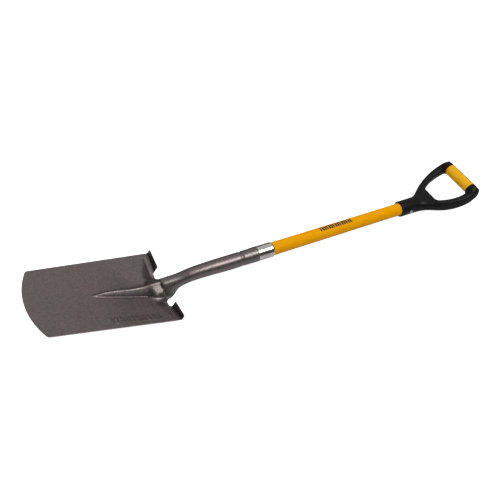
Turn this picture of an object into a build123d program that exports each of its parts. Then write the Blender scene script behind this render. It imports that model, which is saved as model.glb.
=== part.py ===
from build123d import *
import math
import os

# D-grip digging spade, millimetres, lying on its back with the dished front face up.
# X runs along the shaft towards the grip, Y across the blade, Z out of the front face.
# The pieces are built with X = 0 just past the grip-side end of the ferrule and Z = 0 on the
# shaft axis. SHIFT then puts the origin on the floor under the middle of the tool's box.

os.makedirs("parts", exist_ok=True)

SHIFT = Vector(-6.755, 0.0, 24.26)
FIT_GAP = 0.05         # radial clearance between fitted pieces

# ---- blade and tread dimensions ----
SHEET = 2.0            # blade sheet
TIP_X = -565.5         # middle of the cutting edge
CORNER_X = -543.1      # cutting corners
CORNER_Y = 88.4
CORNER_R = 5.0
TREAD_X = -273.7       # foot of the treads at the blade's side edges
TREAD_Y = 102.1        # half width at the treads
EDGE_Z_TREAD = -7.2    # side edge height at the treads
LIFT = 0.2572          # rise of the side edges per mm towards the tip (14.4 degrees)
NECK_X = -276.0        # where the blade narrows to the neck
NOTCH_X = -280.5       # bottom of the notches beside the neck
NOTCH_Y0 = 30.5
NOTCH_Y1 = 53.0
NOTCH_R = 6.5
NECK_CUT_MARGIN = 0.5  # overlap of the neck cut into each notch
CUT_LENGTH = 60.0      # X length of the notch and neck cutters
CUT_HEIGHT = 200.0
OUTLINE_END_X = -250.0  # grip-side end of the outline, past the trimmed sheet
OUTLINE_Z = -80.0      # underside of the outline prism
TREAD_TOP = 11.4       # height of the turned tread
TREAD_LEAN = 29.4      # lean of the tread from vertical, degrees
TREAD_CORNER_R = 3.0
TREAD_SINK = 1.1       # depth of the tread's foot below the front face
TREAD_STEPS = 8        # straight pieces along the foot

# ---- neck and rolled socket dimensions ----
NECK_SHEET = 1.8
NECK_SKIN = -0.1       # offset of the neck's front face where it laps the blade
SOCKET_SHEET = 1.5     # rolled socket wall
SOCKET_SHEET_X = -200  # the wall has thinned to SOCKET_SHEET here
ROUND_X = (NECK_X - 4, -236.0)  # the channel rolls up into a circle over this length
SOCKET_END = -43.8     # mouth of the rolled socket
SEAM_GAP = 1.4         # open seam along the back of the rolled socket
CRIMP_X = -85.0
CRIMP_DEPTH = 0.8
CRIMP_WIDTH = 8.0

# ---- shaft and ferrule dimensions ----
SHAFT_R = 16.0
SHAFT_FIT_R = SHAFT_R + FIT_GAP  # bore of the pieces around the shaft
SHAFT_BORE_R = 12.5
SHAFT_START = -138.0   # end inside the steel socket
SHAFT_TAPER_X = -106.0
SHAFT_TIP_R = 14.6
SHAFT_END = 424.0      # end inside the grip socket
CORE_START = -136.0
CORE_END = 70.0
CORE_CHAMFER = 1.5
PLUG_START = 380.0
PLUG_END = 422.0
PLUG_CHAMFER = 1.0

FERRULE_R = 18.3
FERRULE_SHEET = 0.9
SKIRT_SHEET = 0.5      # part of the ferrule inside the steel socket
FERRULE_SKIRT = -53.0
FERRULE_END = -2.0
SHOULDER_X = SOCKET_END + 0.02  # ferrule face against the socket mouth

# ---- grip and rivet dimensions ----
GRIP_SOCKET_X = 374.0
GRIP_X = 563.1         # grip axis
GRIP_Z = 47.4
SLEEVE_R = 15.4
SLEEVE_BORE_R = 11.0
SLEEVE_HALF = 40.5
SLEEVE_END_GAP = 0.05
SLEEVE_FILLET = 0.6
BAR_GAP = 0.02         # radial gap between crossbar and sleeve
BAR_OVERLAP = 4.0      # length of crossbar inside each collar
COLLAR_R = 15.9
RIVET_X = 402.0
RIVET_R = 2.6
RIVET_HEAD_R = 4.7
RIVET_SEAT = 19.7
RIVET_SEAT_GAP = 0.6
RIVET_HEAD_H = 2.4


# ---- curves and solids shared by the pieces ----
def pchip(xs, ys, x):
    """Smooth interpolation through (xs, ys) that does not overshoot."""
    count = len(xs)
    if x <= xs[0]:
        return ys[0]
    if x >= xs[-1]:
        return ys[-1]
    step = [xs[i + 1] - xs[i] for i in range(count - 1)]
    slope = [(ys[i + 1] - ys[i]) / step[i] for i in range(count - 1)]
    tangent = [0.0] * count
    for i in range(1, count - 1):
        if slope[i - 1] * slope[i] > 0:
            before = 2 * step[i] + step[i - 1]
            after = step[i] + 2 * step[i - 1]
            tangent[i] = (before + after) / (before / slope[i - 1] + after / slope[i])
    tangent[0] = slope[0]
    tangent[-1] = slope[-1]
    i = max(k for k in range(count - 1) if xs[k] <= x)
    t = (x - xs[i]) / step[i]
    return (
        (1 + 2 * t) * (1 - t) ** 2 * ys[i]
        + t * (1 - t) ** 2 * step[i] * tangent[i]
        + t * t * (3 - 2 * t) * ys[i + 1]
        + t * t * (t - 1) * step[i] * tangent[i + 1]
    )


def smooth(x, low, high):
    """Ease from 0 at low to 1 at high."""
    t = min(1.0, max(0.0, (x - low) / (high - low)))
    return t * t * (3 - 2 * t)


def section_wire(x, upper, lower, params):
    """Closed section of a sheet in the plane X = x, from matching curves in (y, z)."""
    top = [Vector(x, y, z) for y, z in upper]
    bottom = [Vector(x, y, z) for y, z in lower]
    return Wire([
        Edge.make_spline(top, parameters=params),
        Edge.make_line(top[-1], bottom[-1]),
        Edge.make_spline(bottom[::-1], parameters=[1.0 - t for t in params[::-1]]),
        Edge.make_line(bottom[0], top[0]),
    ])


def polygon(points):
    """Closed loop of straight edges."""
    return Wire([Edge.make_line(a, b) for a, b in zip(points, points[1:] + points[:1])])


def revolved_x(profile):
    """Solid turned about X from (x, radius) points."""
    return Solid.revolve(Face(polygon([Vector(x, 0, r) for x, r in profile])), 360, Axis.X)


def rod_x(x0, x1, radius):
    return Solid.make_cylinder(radius, x1 - x0, Plane(origin=(x0, 0, 0), z_dir=(1, 0, 0)))


def rod_y(x, y0, y1, radius, z=0):
    return Solid.make_cylinder(radius, y1 - y0, Plane(origin=(x, y0, z), z_dir=(0, 1, 0)))


# ---- blade surface ----
# Depth of the dish below the side edges, on the middle line.
DISH_X = [-570, -520, -480, -450, -425, -411, -400, -378, -356, -332, -307, -293, -285, -276,
          -262]
DISH = [2.5, 2.8, 3.2, 3.8, 4.5, 5.1, 5.8, 8.0, 10.9, 13.3, 15.2, 15.7, 16.0, 16.6, 17.6]
DISH_START_X = -565.0  # from here the dish turns from a parabola to a sharper curve
DISH_LENGTH = 291.0

# Raised frog, tip end: a steep rounded cone. Height and half width.
CONE_X = [-438, -431, -424, -418, -411, -400, -378, -356, -332, -318, -307, -293, -262]
CONE_H = [0.0, 1.0, 2.9, 4.5, 6.0, 7.9, 10.4, 12.6, 15.2, 18.4, 22.0, 26.6, 33.0]
CONE_W = [5.0, 5.6, 6.2, 7.0, 8.0, 9.2, 11.0, 12.6, 14.6, 17.2, 20.1, 24.0, 28.0]
CONE_EASE = 0.3        # rounding at the foot of the cone

# Raised frog, neck end: a bell-shaped arch. Height and half width.
BELL_X = [-432, -426, -420, -406, -385, -363, -340, -320, -300, -285, -272, -262]
BELL_H = [0.0, 0.25, 1.6, 4.2, 6.6, 8.9, 12.4, 17.4, 22.8, 28.6, 34.0, 36.0]
BELL_WX = [-432, -423, -399, -376, -348, -313, -276, -262]
BELL_W = [5.0, 8.5, 14.0, 18.5, 23.0, 27.5, 31.5, 32.5]
BELL_FULLER_X = (-400, -285)  # the bell's crown broadens over this length
BELL_BLEND_X = (-308, -282)   # the cone gives way to the bell over this length

# Shoulders beside the frog: distance from the middle and front face height at SHELF_X.
SHELF_Y = [0, 3, 6, 9, 12, 15, 18, 20, 22, 24, 25.5, 27, 28.5, 31, 35, 42]
SHELF_Z = [8.9, 7.2, 5.0, 3.2, 1.4, -0.4, -2.2, -3.6, -5.4, -7.9, -9.9, -11.5, -12.7, -13.7,
           -14.2, -14.3]
SHELF_X = -292.0
SHELF_IN_X = (-320, -299)
SHELF_OUT_X = (-285.5, -279.5)
SHELF_LIFT_Y = (19.0, 31.0)
SHELF_REACH = 41.0     # outer limit of the shoulder in Y
SHELF_FADE = 9.0

# Dip between the neck and each tread, and the slight swell on its tip side.
DIP_X = -288.5         # start of the dip at its outer limit
DIP_Y = 98.0           # outer limit
DIP_WIDTH = 53.0
DIP_RUN = 22.0         # longest run of the slope
DIP_EASE = 4.0
DIP_SLOPE = 0.28
DIP_IN_Y = (28.5, 37.0)
SWELL = 2.5
SWELL_X = (-370.0, -312.0)
SWELL_Y = (24.0, 66.0)

# Sections of the blade loft: stations along X, and points across half of each.
BLADE_XS = [
    -575, -555, -530, -505, -480, -460, -447, -439, -432, -425, -418, -410, -400, -388, -374,
    -360, -345, -331, -319, -310, -301, -293, -286, -279, -270, -260,
]
BLADE_Y = [0, 2.5, 5, 7.5, 10, 12.5, 15, 18, 21, 24.5, 28.5, 33, 38, 45, 56, 68, 82, 98, 116]
BLADE_YS = [-y for y in BLADE_Y[:0:-1]] + BLADE_Y
BLADE_PARAMS = [(y + BLADE_Y[-1]) / (2 * BLADE_Y[-1]) for y in BLADE_YS]
SLOPE_STEP = 0.05      # half step for measuring the surface slope


def half_width(x):
    return TREAD_Y - (TREAD_Y - CORNER_Y) * (TREAD_X - x) / (TREAD_X - CORNER_X)


def front_z(x, y):
    """Front face of the blade sheet: side edges, dish, frog and the dips beside the treads."""
    along = min(1.1, max(0.0, (x - DISH_START_X) / DISH_LENGTH))
    dist = abs(y)
    across = dist / half_width(x)
    edge_z = EDGE_Z_TREAD - LIFT * (x - TREAD_X)
    dished = edge_z - pchip(DISH_X, DISH, x) * (1.0 - across ** (2.0 - 0.6 * along))

    rise = 1 - (dist / pchip(CONE_X, CONE_W, x)) ** 1.6
    if rise < -CONE_EASE:
        rise = 0.0
    elif rise <= CONE_EASE:
        rise = (rise + CONE_EASE) ** 2 / (4 * CONE_EASE)
    cone = pchip(CONE_X, CONE_H, x) * rise

    flank = min(dist / pchip(BELL_WX, BELL_W, x), 1.0)
    power = 1.0 + 0.28 * smooth(x, *BELL_FULLER_X)
    bell = pchip(BELL_X, BELL_H, x) * 0.5 * (1.0 + math.cos(math.pi * flank**power))
    to_bell = smooth(x, *BELL_BLEND_X)
    z = dished + (1 - to_bell) * cone + to_bell * bell

    # Around the change from cone to bell each flank flattens to a broad shoulder.
    to_shelf = smooth(x, *SHELF_IN_X) * (1 - smooth(x, *SHELF_OUT_X))
    to_shelf *= smooth(SHELF_REACH - dist, 0.0, SHELF_FADE)
    shelf = pchip(SHELF_Y, SHELF_Z, dist) - LIFT * (x - SHELF_X) * smooth(dist, *SHELF_LIFT_Y)
    z = z * (1 - to_shelf) + to_shelf * shelf

    # The sheet slopes down beside the neck, then runs level up to the fold of each tread.
    inward = min(1.0, max(0.0, (DIP_Y - dist) / DIP_WIDTH))
    run = min(max(0.0, x - DIP_X + DIP_RUN * inward), DIP_RUN * inward)
    dip = DIP_SLOPE * inward**0.3 * (run - DIP_EASE * (1 - math.exp(-run / DIP_EASE)))
    z += SWELL * inward * smooth(x, *SWELL_X) * smooth(dist, *SWELL_Y)
    return z - dip * smooth(dist, *DIP_IN_Y)


def blade_sheet():
    """Untrimmed blade sheet, its back face offset square to the front curve."""
    wires = []
    for x in BLADE_XS:
        front, back = [], []
        for y in BLADE_YS:
            rise = front_z(x, y + SLOPE_STEP) - front_z(x, y - SLOPE_STEP)
            slope = rise / (2 * SLOPE_STEP)
            norm = math.sqrt(1 + slope * slope)
            z = front_z(x, y)
            front.append((y, z))
            back.append((y + SHEET * slope / norm, z - SHEET / norm))
        wires.append(section_wire(x, front, back, BLADE_PARAMS))
    return Solid.make_loft(wires)


def blade_outline():
    """Outline of the blade seen along Z."""
    corner_plus = Vector(CORNER_X, CORNER_Y)
    corner_minus = Vector(CORNER_X, -CORNER_Y)
    end_plus = Vector(OUTLINE_END_X, half_width(OUTLINE_END_X))
    end_minus = Vector(OUTLINE_END_X, -half_width(OUTLINE_END_X))
    face = Face(Wire([
        Edge.make_three_point_arc(corner_minus, Vector(TIP_X, 0), corner_plus),
        Edge.make_line(corner_plus, end_plus),
        Edge.make_line(end_plus, end_minus),
        Edge.make_line(end_minus, corner_minus),
    ]))
    corners = [v for v in face.vertices() if v.X < CORNER_X + 1 and abs(v.Y) > CORNER_Y - 1]
    return face.fillet_2d(CORNER_R, corners)


# ---- treads ----
# Each tread's foot-bearing face is one plane that leans towards the grip.
# These values are for the tread at Y > 0; the other is its mirror image.
lean = math.radians(TREAD_LEAN)
TREAD_UP = Vector(math.sin(lean), 0, math.cos(lean))
TREAD_ALONG = Vector(0, 48.8, 9.3).normalized()
TREAD_NORMAL = TREAD_ALONG.cross(TREAD_UP).normalized()  # faces the grip
FOOT_MID = Vector(TREAD_X + 0.2, 77.6, -12.1)            # middle of the foot line


def tread_plane_point(y, z):
    """Point of the tread's outer plane with the given y and z."""
    drop = TREAD_NORMAL.Y * (y - FOOT_MID.Y) + TREAD_NORMAL.Z * (z - FOOT_MID.Z)
    return Vector(FOOT_MID.X - drop / TREAD_NORMAL.X, y, z)


def tread_top_point(y):
    return FOOT_MID + TREAD_ALONG * (y - FOOT_MID.Y) / TREAD_ALONG.Y + TREAD_UP * TREAD_TOP


def tread_solid():
    y_in, y_out = NOTCH_Y1 + 0.3, half_width(TREAD_X) - 0.2
    foot = []
    for i in range(TREAD_STEPS + 1):
        y = y_in + (y_out - y_in) * i / TREAD_STEPS
        z = -12.0
        # Repeated until the point lies both on the plane and inside the sheet.
        for _ in range(12):
            z = front_z(tread_plane_point(y, z).X, y) - TREAD_SINK
        foot.append(tread_plane_point(y, z))
    top_out = tread_top_point(y_out)
    face = Face(polygon(foot + [top_out, tread_top_point(y_in)]))
    slab = Solid.extrude(face, TREAD_NORMAL * (-SHEET))
    outer_corner = [
        e for e in slab.edges()
        if abs(e.length - SHEET) < 0.02 and (e.center() - top_out).length < 2 * SHEET
    ]
    return fillet(outer_corner, TREAD_CORNER_R)


def trimmed_blade():
    """Blade cut to its outline, notched beside the neck and cut along the tread planes."""
    sheet = blade_sheet()
    outline = blade_outline().moved(Location((0, 0, OUTLINE_Z)))
    sheet = sheet & Solid.extrude(outline, Vector(0, 0, CUT_HEIGHT))
    for side in (1, -1):
        notch_y = side * 0.5 * (NOTCH_Y0 + NOTCH_Y1)
        notch = Pos(NOTCH_X + CUT_LENGTH / 2, notch_y, 0) * Box(
            CUT_LENGTH, NOTCH_Y1 - NOTCH_Y0, CUT_HEIGHT)
        notch = fillet(notch.edges().filter_by(Axis.Z).group_by(Axis.X)[0], NOTCH_R)
        sheet = sheet - notch
    sheet = sheet - Pos(NECK_X + CUT_LENGTH / 2, 0, 0) * Box(
        CUT_LENGTH, 2 * (NOTCH_Y0 + NECK_CUT_MARGIN), CUT_HEIGHT)
    tread_plane = Plane(origin=FOOT_MID, x_dir=TREAD_ALONG, z_dir=TREAD_NORMAL)
    cutter = tread_plane * Pos(0, 0, 40) * Box(120, 120, 80)
    # Keeps the cutter clear of the neck.
    cutter = cutter & (Pos(-200, 80, 0) * Box(400, 75, 300))
    return sheet - cutter - mirror(cutter, about=Plane.XZ)


# ---- neck and rolled socket ----
# Height of the section centre, and outer radius, along X.
AXIS_X = [-292, -276, -246, -232, -211, -186, -161, -136, -111, -42]
AXIS_Z = [-6.6, -6.4, -5.2, -3.2, 0.4, 1.3, 1.3, 0.6, 0.0, 0.0]
RADIUS_X = [-292, -246, -211, -186, -161, -136, -111, -66, -54, -42]
RADIUS = [15.4, 15.4, 15.7, 16.2, 16.8, 17.3, 17.65, 17.7, 18.2, 18.3]
NECK_XS = [
    -286, -281, -276, -271, -266, -261, -256, -250, -244, -238, -230, -220, -208, -194,
    -178, -160, -140, -120, -100, -84, -72, -66, -60, -54, -48, SOCKET_END,
]
NECK_POINTS = 37       # points across each section
NECK_PARAMS = [i / (NECK_POINTS - 1) for i in range(NECK_POINTS)]
CHANNEL_Y = 30.0       # half width of the channel
CHANNEL_SAMPLES = 241


def resample(points, count):
    """The given number of points evenly spaced along a polyline in (y, z)."""
    reach = [0.0]
    for a, b in zip(points, points[1:]):
        reach.append(reach[-1] + math.hypot(b[0] - a[0], b[1] - a[1]))
    out = []
    j = 0
    for i in range(count):
        target = reach[-1] * i / (count - 1)
        while j < len(reach) - 2 and reach[j + 1] < target:
            j += 1
        part = (target - reach[j]) / (reach[j + 1] - reach[j])
        a, b = points[j], points[j + 1]
        out.append((a[0] + part * (b[0] - a[0]), a[1] + part * (b[1] - a[1])))
    return out


def offset_curve(points, distance):
    """Curve in (y, z) moved towards its upper side."""
    out = []
    for i, (y, z) in enumerate(points):
        a = points[max(0, i - 1)]
        b = points[min(len(points) - 1, i + 1)]
        dy, dz = b[0] - a[0], b[1] - a[1]
        norm = math.hypot(dy, dz)
        out.append((y - distance * dz / norm, z + distance * dy / norm))
    return out


def channel_curve(x):
    """Front curve of the sheet across the neck, from -Y to +Y."""
    last = CHANNEL_SAMPLES - 1
    ys = [-CHANNEL_Y + 2 * CHANNEL_Y * i / last for i in range(CHANNEL_SAMPLES)]
    return resample([(y, front_z(x, y)) for y in ys], NECK_POINTS)


# Channel where the neck starts, with heights from the section centre.
CHANNEL_BASE = [(y, z - pchip(AXIS_X, AXIS_Z, NECK_X)) for y, z in channel_curve(NECK_X)]


def neck_curve(x):
    """Outer curve of the neck and socket at X = x, in (y, z)."""
    if x <= NECK_X:
        return channel_curve(x)
    centre_z = pchip(AXIS_X, AXIS_Z, x)
    radius = pchip(RADIUS_X, RADIUS, x)
    rolled = smooth(x, *ROUND_X)
    half_turn = math.pi - SEAM_GAP / 2 / radius
    out = []
    for i, (base_y, base_z) in enumerate(CHANNEL_BASE):
        angle = (-1 + 2 * i / (NECK_POINTS - 1)) * half_turn
        y = (1 - rolled) * base_y + rolled * radius * math.sin(angle)
        z = centre_z + (1 - rolled) * base_z + rolled * radius * math.cos(angle)
        out.append((y, z))
    return out


def neck_solid():
    """Neck and rolled socket, with the crimp groove around the socket."""
    wires = []
    for x in NECK_XS:
        curve = neck_curve(x)
        wall = NECK_SHEET + (SOCKET_SHEET - NECK_SHEET) * smooth(x, NECK_X, SOCKET_SHEET_X)
        skin = NECK_SKIN if x <= NECK_X else 0.0
        outer, inner = offset_curve(curve, skin), offset_curve(curve, skin - wall)
        wires.append(section_wire(x, outer, inner, NECK_PARAMS))
    neck = Solid.make_loft(wires)
    groove_r = (CRIMP_WIDTH**2 / 4 + CRIMP_DEPTH**2) / (2 * CRIMP_DEPTH)
    ring_r = pchip(RADIUS_X, RADIUS, CRIMP_X) + groove_r - CRIMP_DEPTH
    crimp_plane = Plane(origin=(CRIMP_X, 0, 0), z_dir=(1, 0, 0))
    return neck - Solid.make_torus(ring_r, groove_r, crimp_plane)


def spade_head():
    tread = tread_solid()
    head = trimmed_blade() + neck_solid() + tread + mirror(tread, about=Plane.XZ)
    return head.clean()


# ---- ferrule, shaft tube, core and plug ----
def ferrule_solid():
    """Ferrule sleeve, hollowed between its two ends, with a skirt inside the socket."""
    body = revolved_x([
        (FERRULE_SKIRT, SHAFT_FIT_R),
        (FERRULE_END, SHAFT_FIT_R),
        (FERRULE_END, SHAFT_FIT_R + FERRULE_SHEET),
        (FERRULE_END - 4.0, FERRULE_R),
        (SHOULDER_X, FERRULE_R),
        (SHOULDER_X, SHAFT_FIT_R + SKIRT_SHEET),
        (FERRULE_SKIRT, SHAFT_FIT_R + SKIRT_SHEET),
    ])
    hollow = revolved_x([
        (FERRULE_END - 3.0, SHAFT_FIT_R),
        (FERRULE_END - 4.5, FERRULE_R - FERRULE_SHEET),
        (SOCKET_END + 1.2, FERRULE_R - FERRULE_SHEET),
        (SOCKET_END + 3.5, SHAFT_FIT_R),
    ])
    return body - hollow


def shaft_solid():
    return revolved_x([
        (SHAFT_START, SHAFT_BORE_R),
        (SHAFT_END, SHAFT_BORE_R),
        (SHAFT_END, SHAFT_R),
        (SHAFT_TAPER_X, SHAFT_R),
        (SHAFT_START, SHAFT_TIP_R),
    ])


def bore_filler(x0, x1, chamfer_size):
    """Chamfered rod that fits the shaft's bore."""
    rod = rod_x(x0, x1, SHAFT_BORE_R - FIT_GAP)
    return chamfer(rod.edges().filter_by(GeomType.CIRCLE), chamfer_size)


# ---- D-grip frame ----
# Cranked middle line of the frame.
MID_X = [374, 428, 440, 452, 470, 492, 515, 540, GRIP_X, 575]
MID_Z = [0.0, 0.0, 0.9, 3.4, 9.0, 16.0, 23.4, 33.6, GRIP_Z, 56.0]
STRAIGHT_X = 375       # the middle line is taken as level up to here
SECTION_POINTS = 24
SECTION_PARAMS = [i / SECTION_POINTS for i in range(SECTION_POINTS + 1)]

# Yoke, from the round socket to the crotch of the D: x, half width, half depth, and
# roundness (2 is an ellipse, more is squarer).
YOKE_ROWS = [
    (GRIP_SOCKET_X, 20.4, 20.4, 2.0), (388, 20.4, 20.4, 2.0), (RIVET_X, 20.4, 20.4, 2.0),
    (415, 20.5, 20.2, 2.0), (428, 21.6, 19.2, 2.0), (438, 23.8, 17.9, 2.1),
    (448, 28.0, 16.6, 2.2), (457, 33.4, 15.6, 2.3), (465, 38.6, 14.8, 2.4),
    (473, 43.0, 14.0, 2.5),
]

# Arms: deep straps that lean, then turn inwards to the round collars of the grip.
# x, y, half width, half depth, roundness, lean and turn of the path in degrees
# (None follows the neighbouring rows).
ARM_ROWS = [
    (461, 25.5, 8.0, 12.4, 2.3, 4, 0.0),
    (471, 31.4, 9.2, 14.3, 2.4, 9, None),
    (481, 38.8, 8.8, 14.4, 2.5, 11, None),
    (492, 45.2, 8.4, 14.2, 2.5, 12, None),
    (504, 49.8, 8.4, 13.9, 2.5, 12, None),
    (517, 53.3, 8.9, 13.5, 2.5, 11, None),
    (530, 55.6, 9.6, 13.1, 2.5, 9, None),
    (542, 56.6, 10.2, 13.0, 2.4, 6, -5.0),
    (551, 55.0, 11.2, 13.5, 2.3, 4, -28.0),
    (557.5, 51.0, 12.8, 14.4, 2.2, 2, -55.0),
    (562, 45.6, 14.8, 15.3, 2.1, 0, -78.0),
    (GRIP_X, SLEEVE_HALF, COLLAR_R, COLLAR_R, 2.0, 0, -90.0),
]


def frame_section(x, y, half_w, half_d, roundness, turn=0.0, tilt=0.0):
    """Rounded section, turned about the front normal and tilted about its path (radians)."""
    rise = 0
    if x > STRAIGHT_X:
        rise = pchip(MID_X, MID_Z, x + 0.5) - pchip(MID_X, MID_Z, x - 0.5)
    tangent = Vector(1, 0, rise).normalized()
    normal = Vector(-tangent.Z, 0, tangent.X)
    centre = Vector(x, y, pchip(MID_X, MID_Z, x))
    across = Vector(0, 1, 0) * math.cos(turn) - tangent * math.sin(turn)
    wide = across * math.cos(tilt) + normal * math.sin(tilt)
    deep = normal * math.cos(tilt) - across * math.sin(tilt)
    points = []
    for i in range(SECTION_POINTS):
        angle = 2 * math.pi * i / SECTION_POINTS
        cos, sin = math.cos(angle), math.sin(angle)
        u = half_w * math.copysign(abs(cos) ** (2 / roundness), cos)
        v = half_d * math.copysign(abs(sin) ** (2 / roundness), sin)
        points.append(centre + wide * u + deep * v)
    return Wire([Edge.make_spline(points, periodic=True, parameters=SECTION_PARAMS)])


def arm_solid(side):
    wires = []
    for i, (x, y, half_w, half_d, roundness, tilt, turn) in enumerate(ARM_ROWS):
        if turn is None:
            before, after = ARM_ROWS[i - 1], ARM_ROWS[i + 1]
            angle = math.atan2(after[1] - before[1], after[0] - before[0])
        else:
            angle = math.radians(turn)
        wires.append(frame_section(x, side * y, half_w, half_d, roundness,
                                   side * angle, side * math.radians(tilt)))
    return Solid.make_loft(wires)


def grip_frame(rivet_hole):
    yoke = Solid.make_loft([frame_section(x, 0, *shape) for x, *shape in YOKE_ROWS])
    bar_end = SLEEVE_HALF + BAR_OVERLAP
    crossbar = rod_y(GRIP_X, -bar_end, bar_end, SLEEVE_BORE_R - BAR_GAP, GRIP_Z)
    frame = yoke + arm_solid(1) + arm_solid(-1) + crossbar
    frame = frame - rod_x(GRIP_SOCKET_X - 5, SHAFT_END + 0.3, SHAFT_FIT_R)
    seat_r = RIVET_HEAD_R + RIVET_SEAT_GAP
    seat_plus = rod_y(RIVET_X, RIVET_SEAT, 30, seat_r)
    seat_minus = rod_y(RIVET_X, -30, -RIVET_SEAT, seat_r)
    return frame - rivet_hole - seat_plus - seat_minus


# ---- rivet and grip sleeve ----
def rivet_solid():
    """Rivet across the grip socket, with a domed head at each end."""
    dome_r = (RIVET_HEAD_R**2 + RIVET_HEAD_H**2) / (2 * RIVET_HEAD_H)
    shank_end = RIVET_SEAT + 0.4
    rivet = rod_y(RIVET_X, -shank_end, shank_end, RIVET_R)
    for side in (1, -1):
        ball = Pos(RIVET_X, side * (RIVET_SEAT + RIVET_HEAD_H - dome_r), 0) * Sphere(dome_r)
        outside = Pos(RIVET_X, side * (RIVET_SEAT + 10), 0) * Box(20, 20, 20)
        rivet = rivet + (ball & outside)
    return rivet


def sleeve_solid():
    end = SLEEVE_HALF - SLEEVE_END_GAP
    sleeve = rod_y(GRIP_X, -end, end, SLEEVE_R, GRIP_Z)
    sleeve = fillet(sleeve.edges().filter_by(GeomType.CIRCLE), SLEEVE_FILLET)
    return sleeve - rod_y(GRIP_X, -SLEEVE_HALF - 5, SLEEVE_HALF + 5, SLEEVE_BORE_R, GRIP_Z)


# ---- write the pieces ----
rivet_hole = rod_y(RIVET_X, -40, 40, RIVET_R + FIT_GAP)
NODES = {
    "spade_head": spade_head(),
    "ferrule": ferrule_solid(),
    "shaft_tube": shaft_solid() - rivet_hole,
    "socket_core": bore_filler(CORE_START, CORE_END, CORE_CHAMFER),
    "grip_end_plug": bore_filler(PLUG_START, PLUG_END, PLUG_CHAMFER) - rivet_hole,
    "d_grip_frame": grip_frame(rivet_hole),
    "grip_sleeve": sleeve_solid(),
    "grip_rivet": rivet_solid(),
}
for name, shape in NODES.items():
    solids = shape.solids()
    # A piece left in several solids is written as one compound.
    body = solids[0] if len(solids) == 1 else Compound(children=list(solids))
    export_step(body.moved(Location(SHIFT)), f"parts/{name}.step")
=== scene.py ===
# A spade lying along X with its dished front face up (+Z): a pressed steel head towards -X,
# a fibreglass shaft in the middle and a moulded D-grip at +X. Y runs across the blade.
# Shapes are written in millimetres in tool coordinates: X along the shaft with 0 at the
# grip-side end of the ferrule, Z with 0 on the shaft axis. SHIFT moves them into the row frame.
import math

import bmesh
import bpy
import numpy as np
from mathutils import Matrix, Vector


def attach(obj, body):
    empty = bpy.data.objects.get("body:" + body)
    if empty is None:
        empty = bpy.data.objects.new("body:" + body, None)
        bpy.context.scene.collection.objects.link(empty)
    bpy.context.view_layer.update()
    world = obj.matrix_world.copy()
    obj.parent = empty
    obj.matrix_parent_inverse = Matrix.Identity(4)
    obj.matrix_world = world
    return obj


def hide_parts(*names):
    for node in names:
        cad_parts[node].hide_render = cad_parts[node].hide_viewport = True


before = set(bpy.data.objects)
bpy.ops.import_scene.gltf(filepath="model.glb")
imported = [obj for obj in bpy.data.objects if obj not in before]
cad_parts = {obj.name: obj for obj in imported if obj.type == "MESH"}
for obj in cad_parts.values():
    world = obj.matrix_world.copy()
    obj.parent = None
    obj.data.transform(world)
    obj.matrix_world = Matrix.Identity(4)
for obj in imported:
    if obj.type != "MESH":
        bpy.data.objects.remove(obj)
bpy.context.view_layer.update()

SHIFT = np.array([-6.755, 0.0, 24.26])
METRE = 0.001

# Shaft and ferrule. Profiles are (x, radius).
SHAFT_R, SHAFT_BORE, SHAFT_END = 16.0, 12.5, 424.0
SHAFT_PROFILE = [
    (-138.0, SHAFT_BORE), (SHAFT_END, SHAFT_BORE), (SHAFT_END, SHAFT_R), (-106.0, SHAFT_R),
    (-138.0, 14.6),
]
FERRULE_PROFILE = [
    (-53.0, 16.06), (-2.0, 16.06), (-2.0, 16.9), (-4.6, 18.25), (-43.7, 18.3),
    (-43.78, 16.56), (-53.0, 16.56),
]

# Grip bar, its sleeve and the rivet through the grip socket.
GRIP_X, GRIP_Z = 563.1, 47.4
SLEEVE_R, SLEEVE_BORE, SLEEVE_HALF = 15.4, 11.0, 40.5
RIVET_X = 402.0
RIVET_HEAD_R, RIVET_HEAD_BASE, RIVET_HEAD_RISE, RIVET_PIN_R = 4.7, 19.75, 2.35, 2.6


# ---- meshes and objects ---------------------------------------------------------------------
def row_frame(points):
    return (np.asarray(points, float) + SHIFT) * METRE


def add_object(name, mesh):
    obj = bpy.data.objects.new(name, mesh)
    bpy.context.scene.collection.objects.link(obj)
    return obj


def quad_object(name, points, faces, material):
    """Smooth object from an array of faces that all have the same number of corners."""
    mesh = bpy.data.meshes.new(name)
    points = row_frame(points).astype(np.float32)
    faces = np.asarray(faces, np.int32)
    count, corners = faces.shape
    mesh.vertices.add(len(points))
    mesh.vertices.foreach_set("co", points.ravel())
    mesh.loops.add(faces.size)
    mesh.loops.foreach_set("vertex_index", faces.ravel())
    mesh.polygons.add(count)
    mesh.polygons.foreach_set("loop_start", np.arange(count, dtype=np.int32) * corners)
    mesh.polygons.foreach_set("loop_total", np.full(count, corners, np.int32))
    mesh.polygons.foreach_set("use_smooth", np.ones(count, bool))
    mesh.update(calc_edges=True)
    mesh.validate()
    mesh.materials.append(material)
    return add_object(name, mesh)


def clean_faces(faces):
    """Quads stay quads; a quad with a doubled corner becomes a triangle."""
    unique = [list(dict.fromkeys(int(v) for v in face)) for face in faces]
    return [f for f in unique if len(f) == 4] + [f for f in unique if len(f) == 3]


def mixed_object(name, points, faces, material):
    """Smooth object from quads, some of which may have a doubled corner."""
    mesh = bpy.data.meshes.new(name)
    mesh.from_pydata(row_frame(points).tolist(), [], clean_faces(faces))
    mesh.validate()
    mesh.polygons.foreach_set("use_smooth", np.ones(len(mesh.polygons), bool))
    mesh.update()
    mesh.materials.append(material)
    return add_object(name, mesh)


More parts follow.
